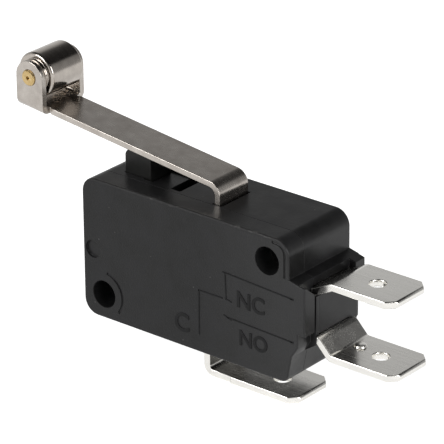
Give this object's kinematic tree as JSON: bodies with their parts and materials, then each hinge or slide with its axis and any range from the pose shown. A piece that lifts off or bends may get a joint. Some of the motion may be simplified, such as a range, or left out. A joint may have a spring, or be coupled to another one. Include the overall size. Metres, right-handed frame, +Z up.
{
  "type": "lever micro switch",
  "caption": "Snap-action micro switch with a black moulded case, a hinged roller lever over its plunger, and flat push-on terminals for the common and changeover contacts.",
  "frame": {"origin": "middle of the line between the centres of the mounting holes, half way through the case's depth", "axes": "+X along the case towards the end terminals, +Y from the front cover to the back face, +Z up from the case's bottom to the lever"},
  "size_m": [0.0511, 0.0104, 0.0303],
  "materials": {
    "case_plastic": "black moulded resin, satin",
    "plunger_plastic": "dark moulded resin, smooth",
    "lever_steel": "bare stainless strip, satin",
    "roller_steel": "turned and polished steel",
    "pin_brass": "bare brass, bright",
    "terminal_metal": "silver plated brass, satin",
    "contact_silver": "silver, smooth",
    "spring_copper": "copper alloy spring strip"
  },
  "bodies": {
    "case": {"base_housing": "case_plastic", "front_cover": "case_plastic", "common_terminal": "terminal_metal", "nc_terminal": "terminal_metal", "no_terminal": "terminal_metal", "nc_contact": "contact_silver", "no_contact": "contact_silver"},
    "lever": {"lever": "lever_steel", "roller_pin": "pin_brass"},
    "roller": {"roller": "roller_steel"},
    "plunger": {"plunger": "plunger_plastic"},
    "blade": {"snap_blade": "spring_copper", "moving_contact": "contact_silver"}
  },
  "joints": [
    {"name": "lever_pivot", "type": "hinge", "parent": "case", "child": "lever", "pos_m": [0.0023, 0, 0.00685], "axis": [0, -1, 0], "range_deg": [0, 8], "stiffness_Nm_per_rad": 0.2, "springref_deg": -2.86},
    {"name": "plunger_slide", "type": "slide", "parent": "case", "child": "plunger", "axis": [0, 0, -1], "range_m": [0, 0.0016]},
    {"name": "blade_pivot", "type": "hinge", "parent": "case", "child": "blade", "pos_m": [-0.0116, 0, 0.00005], "axis": [0, 1, 0], "range_deg": [0, 3.1]},
    {"name": "roller_spin", "type": "hinge", "parent": "lever", "child": "roller", "pos_m": [-0.0227, 0, 0.01622], "axis": [0, 1, 0], "continuous": true}
  ],
  "couplings": [
    {"joint": "plunger_slide", "follows": "lever_pivot", "m_per_rad": 0.01136},
    {"joint": "blade_pivot", "follows": "lever_pivot", "ratio": 0.3858}
  ]
}
